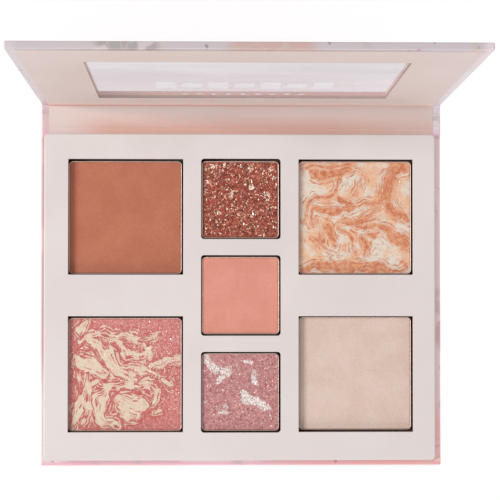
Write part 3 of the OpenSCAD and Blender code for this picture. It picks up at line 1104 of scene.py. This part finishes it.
# Marbling strokes: half-width, then points from the pan's centre, all in millimetres.
HIGHLIGHTER_STROKES = (
    (1.0, (-17, 16), (-10, 17), (1, 17.4)),
    (1.7, (-14, 14.4), (-8.6, 13.6), (-1.6, 15.6)),
    (0.9, (-5.5, 13.5), (-5.3, 10.4), (-8.6, 7.2), (-12.6, 6.6), (-16, 4.4), (-16.5, 0)),
    (1.5, (-6, 7), (-2.4, 4.4), (-0.6, 3.4), (-5.5, 2.2), (-10, 2.7), (-14, 2.2)),
    (0.8, (-14, 2.2), (-14.8, -0.8), (-13.8, -3)),
    (2.0, (17.4, 16.6), (12.4, 16), (11, 12), (10.8, 8), (8.2, 4.8)),
    (1.4, (11.4, 9), (11.6, 4.4), (13.6, 1), (17.4, -1.2)),
    (0.7, (8.2, 5.2), (4, 4.6), (-0.6, 4)),
    (1.0, (8.2, 4.8), (5.2, 1.4), (2.4, -0.8), (-0.6, -2.3), (-4.6, -2)),
    (1.1, (-0.6, -3.2), (3.8, -3.4), (8, -2.8), (12.2, -5), (17.4, -6.8)),
    (1.8, (11, -5), (14, -6.8), (17.4, -8.8)),
    (0.8, (-4.8, -2), (-5.4, -4.4), (-3, -6), (-0.6, -7.4), (0.4, -12)),
    (1.1, (2.2, -6), (3.4, -9), (3.2, -12.4)),
    (0.9, (3.8, -5.4), (6.4, -6.2), (8.6, -5)),
    (1.3, (-8.8, -2), (-8.2, -6), (-6.4, -9.2)),
    (2.0, (-17.6, -17.4), (-11, -15.8), (-2, -16), (7, -16.2), (11, -17.4)),
    (0.7, (12, -17.4), (17.4, -16)),
    (0.25, (-14, -7.2), (-10, -9.6), (-6.4, -11.6)),
    (0.3, (2, 13.4), (0.6, 9), (-0.8, 7)),
    (0.35, (-12, -1), (-10.6, -4), (-11, -8)),
    (0.4, (7, 0), (4, -1.4), (1, -1.4)),
)
ROSE_STROKES = (
    (1.3, (-13.4, 17), (-14.2, 13.6)),
    (0.9, (-15.4, 10.6), (-12.4, 13.2), (-7.6, 13.4), (1, 12.8), (6, 10.8), (10.2, 12.8)),
    (1.0, (-10, 12.4), (-5, 12), (0, 12.2), (4.4, 10.6), (7.4, 9)),
    (1.9, (-11.8, 12), (-8.6, 8.4), (-5.4, 6), (-3.8, 3), (-0.4, 0.2), (3.4, -2)),
    (1.0, (-5.6, 11.2), (-3.4, 4.8), (0, 1.8), (3.6, 2.4), (7.4, 0.8), (10.4, -0.4)),
    (1.3, (-2.4, 11), (-1.2, 7.6), (2.8, 5.6), (5.8, 7), (8.2, 8.8)),
    (1.2, (6, 10.4), (7.8, 8), (8, 5)),
    (2.5, (-15, 5.4), (-13.4, 2.6), (-9.8, 2), (-6.6, 0.6)),
    (0.45, (-16, 7), (-16.2, 2), (-15.2, -2), (-14.2, -4.8), (-15.2, -8.4), (-16.6, -11)),
    (1.2, (-12, 0), (-12.8, -4.4), (-14.2, -9.8), (-15.8, -13.8), (-16.2, -17)),
    (0.9, (-8.8, -2.2), (-10.8, -4), (-11.6, -8), (-12.2, -11.6), (-13.4, -16.6)),
    (0.95, (-8.6, -2.4), (-5.4, -4.8), (3.6, -4), (8.8, -3.2), (11.4, -6.6), (9, -9.2), (5, -11)),
    (0.45, (-6, -3.2), (-1, -3.2), (4, -2.6)),
    (2.0, (-6, -5.6), (-8.6, -8), (-9, -12.2), (-6.4, -14.6), (-2.6, -16.6)),
    (2.8, (-1.6, -9), (2, -9.6), (6, -9.4)),
    (2.2, (-2, -11.4), (1.6, -12.6), (4.2, -14)),
    (0.5, (0.6, -0.6), (5, 0.6), (10, 1)),
    (0.45, (2, -2.6), (7, -1.6), (10.6, -1.4)),
    (1.4, (7.6, 2), (13, 4), (17.4, 5.6)),
    (0.9, (11.6, -1), (15.4, -3.8)),
    (0.35, (9.4, -12.6), (11.4, -11.6)),
)
MAUVE_STROKES = (
    (1.5, (-11.4, 11), (-9.4, 8.8), (-8.6, 6.6)),
    (1.3, (-9, 9), (-6.4, 7.4), (-3.6, 7.4)),
    (1.1, (-7.6, 3.6), (-5.6, 5.2), (-3.4, 6.4)),
    (0.9, (1.8, 9.4), (4.2, 9.8)),
    (1.0, (5, 6.8), (4.4, 4.2), (5, 1.8)),
    (1.4, (0.6, -0.2), (2.2, -2.6), (4.4, -3)),
    (1.5, (2.8, -3), (5.4, -2.6), (6.8, -4.8), (9.2, -5.6)),
    (0.7, (-5.2, -3.6), (-4.6, -6.6), (-7, -7.2)),
)


class Cake:
    """The shape of one pressed powder: where it lies and how high it is at any point."""

    CORNER = 1.08 * MM
    SHOULDER = 0.35 * MM    # how far in from the pan the surface starts to fall
    DROP = 0.16 * MM        # and how far it falls

    def __init__(self, shade, seed):
        lo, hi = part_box("powder_" + shade)
        self.shade = shade
        self.centre = middle(lo, hi)
        self.half = (hi.x - lo.x) / 2 + 0.02 * MM    # just into the pan's wall
        self.bottom, self.top = lo.z, hi.z
        self.slow = Waves(seed, 14 * MM, 0.012 * MM)
        self.quick = Waves(seed + 1, 2.2 * MM, 0.01 * MM)
        self.crumble = Waves(seed + 2, 1.1 * MM, 0.05 * MM)

    def height(self, x, y):
        """Height above the cake's own top at a point measured from its centre."""
        gap = np.minimum(self.half - np.abs(x), self.half - np.abs(y))
        shoulder = self.SHOULDER + self.crumble(x, y)
        inside = np.clip(gap / np.maximum(shoulder, 0.1 * MM), 0, 1)
        edge = -self.DROP * (1 - np.sqrt(1 - (1 - inside) ** 2))
        return self.slow(x, y) + self.quick(x, y) + edge

    def build(self, material, cells, folds):
        """The cake's mesh, cells points square, with how much second shade lies at each."""
        u = np.linspace(-1, 1, cells)
        u = np.sign(u) * (1 - (1 - np.abs(u)) ** 1.25)
        x, y = np.meshgrid(u * self.half, u * self.half)
        x, y = round_corners(x, y, self.half, self.CORNER)
        z = self.top + self.height(x, y)
        verts = list(zip((x + self.centre.x).ravel(), (y + self.centre.y).ravel(), z.ravel()))
        faces, rim = grid(cells, cells)
        first = len(verts)
        verts += [(verts[i][0], verts[i][1], self.bottom) for i in rim]
        for i, a in enumerate(rim):
            k = (i + 1) % len(rim)
            faces.append((rim[k], a, first + i, first + k))
        faces.append(tuple(reversed(range(first, first + len(rim)))))
        name = "powder_cake_" + self.shade
        piece = build(name, (verts, faces), material)
        if folds is not None:
            amounts = np.zeros(len(verts))
            amounts[:first] = folds(x.ravel(), y.ravel())
            attribute = piece.data.attributes.new("fold", "FLOAT", "POINT")
            attribute.data.foreach_set("value", amounts.astype(np.float32))
        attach(piece, "base")
        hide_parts("powder_" + self.shade)


def round_corners(x, y, half, r):
    """Bends a square grid's corners onto arcs of radius r."""
    a = (np.abs(x) - (half - r)) / r
    b = (np.abs(y) - (half - r)) / r
    corner = (a > 0) & (b > 0)
    a, b = np.where(corner, a, 0), np.where(corner, b, 0)
    new_x = (half - r) + r * a * np.sqrt(1 - b * b / 2)
    new_y = (half - r) + r * b * np.sqrt(1 - a * a / 2)
    return (np.where(corner, np.sign(x) * new_x, x), np.where(corner, np.sign(y) * new_y, y))


def make_flakes(cake, name, material, count, sizes, seed, tilt, where):
    """Glitter: six-sided flakes rooted in the powder's surface, in one mesh.

    where gives the chance that a flake is kept at each point, or is None for all.
    """
    random = np.random.default_rng(seed)
    inner = cake.half - 0.5 * MM
    spare_draws = 12    # points drawn for each flake wanted, so that enough are kept
    x, y = random.uniform(-inner, inner, (2, count * spare_draws))
    if where is not None:
        kept = random.uniform(size=len(x)) < where(x, y)
        x, y = x[kept], y[kept]
    x, y = x[:count], y[:count]
    z = cake.top + cake.height(x, y) + random.uniform(0.0, 0.03, len(x)) * MM
    verts, faces = [], []
    for place in zip(cake.centre.x + x, cake.centre.y + y, z):
        size = random.uniform(*sizes) * MM / 2
        turn = Matrix.Rotation(random.uniform(0, 2 * math.pi), 3, "Z")
        lean = Matrix.Rotation(math.radians(random.normal(0, tilt)), 3, "X")
        spin = turn @ lean
        first = len(verts)
        stretch = random.uniform(0.5, 1.0)
        for k in range(6):
            angle = k * math.pi / 3
            reach = size * random.uniform(0.75, 1.0)
            local = Vector((reach * math.cos(angle), reach * stretch * math.sin(angle), 0))
            verts.append(Vector(place) + spin @ local)
        root = first + 6
        verts.append(Vector(place) + spin @ Vector((0, 0, -0.35 * size)))
        faces.append(tuple(range(first, root)))
        faces += [(first + (k + 1) % 6, first + k, root) for k in range(6)]
    piece = build(name, (verts, faces), material, flat=True)
    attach(piece, "base")


# Glitter: piece, pan, number of flakes, smallest and largest in millimetres, seed and tilt
# in degrees, then the material's name, metal, roughness and colours.
GLITTER = (
    ("glitter_copper", "copper", 3600, (0.25, 0.7), 3, 25, "flakes_copper", 0.5, 0.4,
     ((168, 80, 58), (214, 162, 136), (106, 38, 28), (188, 112, 86), (84, 30, 24),
      (150, 62, 46))),
    ("glitter_copper_pale", "copper", 300, (0.3, 1.1), 4, 25, "flakes_pale", 0.3, 0.4,
     ((236, 220, 200), (222, 188, 164), (240, 232, 220))),
    ("glitter_copper_speck", "copper", 150, (0.5, 0.9), 8, 8, "flakes_speck", 0.2, 0.5,
     ((226, 176, 154), (214, 156, 132), (234, 196, 176))),
    ("glitter_mauve_silver", "mauve", 520, (0.3, 0.8), 5, 25, "flakes_silver", 0.3, 0.4,
     ((214, 210, 208), (228, 226, 224), (196, 178, 174), (214, 196, 190))),
    ("glitter_mauve", "mauve", 3000, (0.2, 0.6), 6, 25, "flakes_mauve", 0.4, 0.4,
     ((190, 128, 128), (158, 92, 94), (222, 176, 170), (174, 110, 110), (140, 80, 80),
      (186, 158, 152))),
    ("glitter_highlighter", "highlighter", 1200, (0.1, 0.3), 7, 14, "flakes_gold", 0.5, 0.35,
     ((236, 210, 180), (220, 176, 136), (246, 234, 218))),
    ("glitter_rose", "rose", 4200, (0.12, 0.42), 9, 16, "flakes_pink", 0.5, 0.35,
     ((236, 196, 190), (214, 146, 142), (244, 222, 214), (190, 104, 98))),
)


def make_glitter(cakes, silver_patches):
    """Flakes on the cakes: pale ones in clusters, silver in patches, pink to the right."""
    clusters = Waves(31, 5 * MM, 1.0)
    where = {
        "glitter_copper_pale": lambda x, y: np.where(clusters(x, y) > 1.0, 1.0, 0.07),
        "glitter_mauve_silver": lambda x, y: np.where(silver_patches(x, y) > 0.5, 1.0, 0.06),
        "glitter_rose": lambda x, y: np.clip(0.4 + (x + y) / (20 * MM), 0.15, 1),
    }
    for piece, pan, count, sizes, seed, tilt, name, metal, rough, colours in GLITTER:
        material = flake_metal(name, [rgb(*colour) for colour in colours], metal, rough)
        make_flakes(cakes[pan], piece, material, count, sizes, seed, tilt, where.get(piece))


def make_powders():
    cakes = {shade: Cake(shade, 10 * i) for i, shade in enumerate(SHADES)}
    materials = {
        "bronzer": matte_powder("powder_bronzer", rgb(168, 102, 79), rgb(163, 96, 74)),
        "rose": rose_powder(),
        "highlighter": highlighter_powder(),
        "cream": matte_powder("powder_cream", rgb(195, 176, 165), rgb(191, 169, 157)),
        "copper": copper_powder(),
        "coral": matte_powder("powder_coral", rgb(199, 133, 118), rgb(194, 127, 112)),
        "mauve": mauve_powder(),
    }
    folds = {
        "rose": Marbling(ROSE_STROKES, 40, 0.22, 0.9, 1.0, 1.5, 1.5, swell=1.12),
        "highlighter": Marbling(HIGHLIGHTER_STROKES, 60, 0.5, 0.6, 0.9, 2.2, 1.2),
        "mauve": Marbling(MAUVE_STROKES, 80, 0.45, 0.3, 0.0, 0.5, 1.25),
    }
    cells = {"rose": 230, "highlighter": 230, "bronzer": 150, "cream": 150}
    for shade, cake in cakes.items():
        cake.build(materials[shade], cells.get(shade, 120), folds.get(shade))
    make_glitter(cakes, folds["mauve"])


def paint_cad_nodes():
    """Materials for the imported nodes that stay: boards, cards, pads, magnets and discs."""
    board = greyboard("greyboard", rgb(204, 180, 170), rgb(184, 156, 146))
    # The block's core and cards: greyboard, darkened as painted shade so the deep gaps round the
    # pans read dark.
    core = greyboard("well_card", rgb(112, 94, 88), rgb(78, 62, 56))
    foam = soft_pad("foam_pad", rgb(244, 243, 240), rgb(216, 214, 208), 1500)
    glue = soft_pad("adhesive_sheet", rgb(238, 234, 222), rgb(222, 216, 200), 500)
    nickel = pan_metal("nickel_plate", rgb(208, 208, 211), 0.18)
    steel = pan_metal("steel_plate", rgb(188, 189, 192), 0.3)
    kept = {"base_board": board, "spine_board": board, "lid_board": board,
            "block_core": core, "block_top_card": core, "block_bottom_card": core,
            "pan_pads": foam, "block_adhesive": glue, "block_magnets": nickel,
            "lid_discs": steel}
    for name, material in kept.items():
        slots = frame["nodes"][name].data.materials
        slots.clear()
        slots.append(material)


# ---------------------------------------------------------------- stage

FLOOR_GLOW = 0.5
FLOOR_REACH = 3.0
FLOOR_DROP = 0.02 * MM    # keeps it from touching the case's underside


def make_floor():
    s = Shader("floor")
    mottle = s.noise(s.place(), 4, detail=2)
    s.set(Base_Color=s.mix(mottle, rgb(252, 252, 252), rgb(249, 249, 249)), Roughness=0.9,
          Emission_Color=(1, 1, 1, 1), Emission_Strength=FLOOR_GLOW)
    square = ((-1, -1), (1, -1), (1, 1), (-1, 1))
    corners = [(x * FLOOR_REACH, y * FLOOR_REACH, 0) for x, y in square]
    floor = add_object("floor", new_mesh("floor", corners, [(0, 1, 2, 3)], s.material))
    floor.location.z = -FLOOR_DROP
    return floor


# Soft boxes: direction they stand in, distance, width and height in metres, watts, colour.
KEY_ELEVATION = math.radians(40)
LIGHTS = {
    "key": ((-math.cos(KEY_ELEVATION), 0.05, math.sin(KEY_ELEVATION)), 2.2, 0.5, 0.8, 46.0,
            (1, 0.985, 0.97)),
    "front": ((0, -0.92, 0.4), 1.4, 0.7, 0.7, 8.0, (1, 0.985, 0.985)),
    "right": ((0.94, 0, 0.34), 1.4, 0.7, 0.7, 3.0, (1, 0.985, 0.985)),
}
WORLD_STRENGTH = 0.56


def soft_box(name, direction, distance, width, height, power, colour):
    """A rectangular light that looks at the palette from direction."""
    data = bpy.data.lights.new(name, "AREA")
    data.energy = power
    data.color = colour
    data.shape = "RECTANGLE"
    data.size = width
    data.size_y = height
    light = add_object(name, data)
    back = Vector(direction).normalized()
    light.location = back * distance
    light.rotation_euler = back.to_track_quat("Z", "Y").to_euler()
    return light


def spare(light, piece):
    """Keeps a light off one piece, so that the palette's hard shadow isn't seen on it."""
    spared = bpy.data.collections.new(light.name + "_spares")
    spared.objects.link(piece)
    light.light_linking.receiver_collection = spared
    spared.collection_objects[0].light_linking.link_state = "EXCLUDE"


def make_light(floor):
    world = bpy.data.worlds.new("studio")
    bpy.context.scene.world = world
    world.use_nodes = True
    backdrop = world.node_tree.nodes["Background"]
    backdrop.inputs["Color"].default_value = (1.0, 0.99, 0.985, 1)
    backdrop.inputs["Strength"].default_value = WORLD_STRENGTH
    for name, settings in LIGHTS.items():
        spare(soft_box(name, *settings), floor)
    bpy.context.scene.view_settings.view_transform = "Standard"


# The camera looks almost straight down from arm's length, tipped a little.
CAMERA_PLACE = (-12.1 * MM, 3.3 * MM, 579.4 * MM)
CAMERA_TILT = (math.radians(1.231), math.radians(-1.484), math.radians(0.017))
CAMERA_LENS = 125.9    # mm


def make_camera():
    data = bpy.data.cameras.new("camera")
    data.lens = CAMERA_LENS
    data.clip_start = 0.05
    camera = add_object("camera", data)
    camera.location = CAMERA_PLACE
    camera.rotation_euler = CAMERA_TILT
    bpy.context.scene.camera = camera


make_camera()
make_light(make_floor())
paint_cad_nodes()
make_case()
make_film()
make_block(cream_paper())
pan_material = pan_metal("pan_metal", rgb(206, 178, 166), 0.42)
for shade_name in SHADES:
    make_pan(shade_name, pan_material)
make_powders()
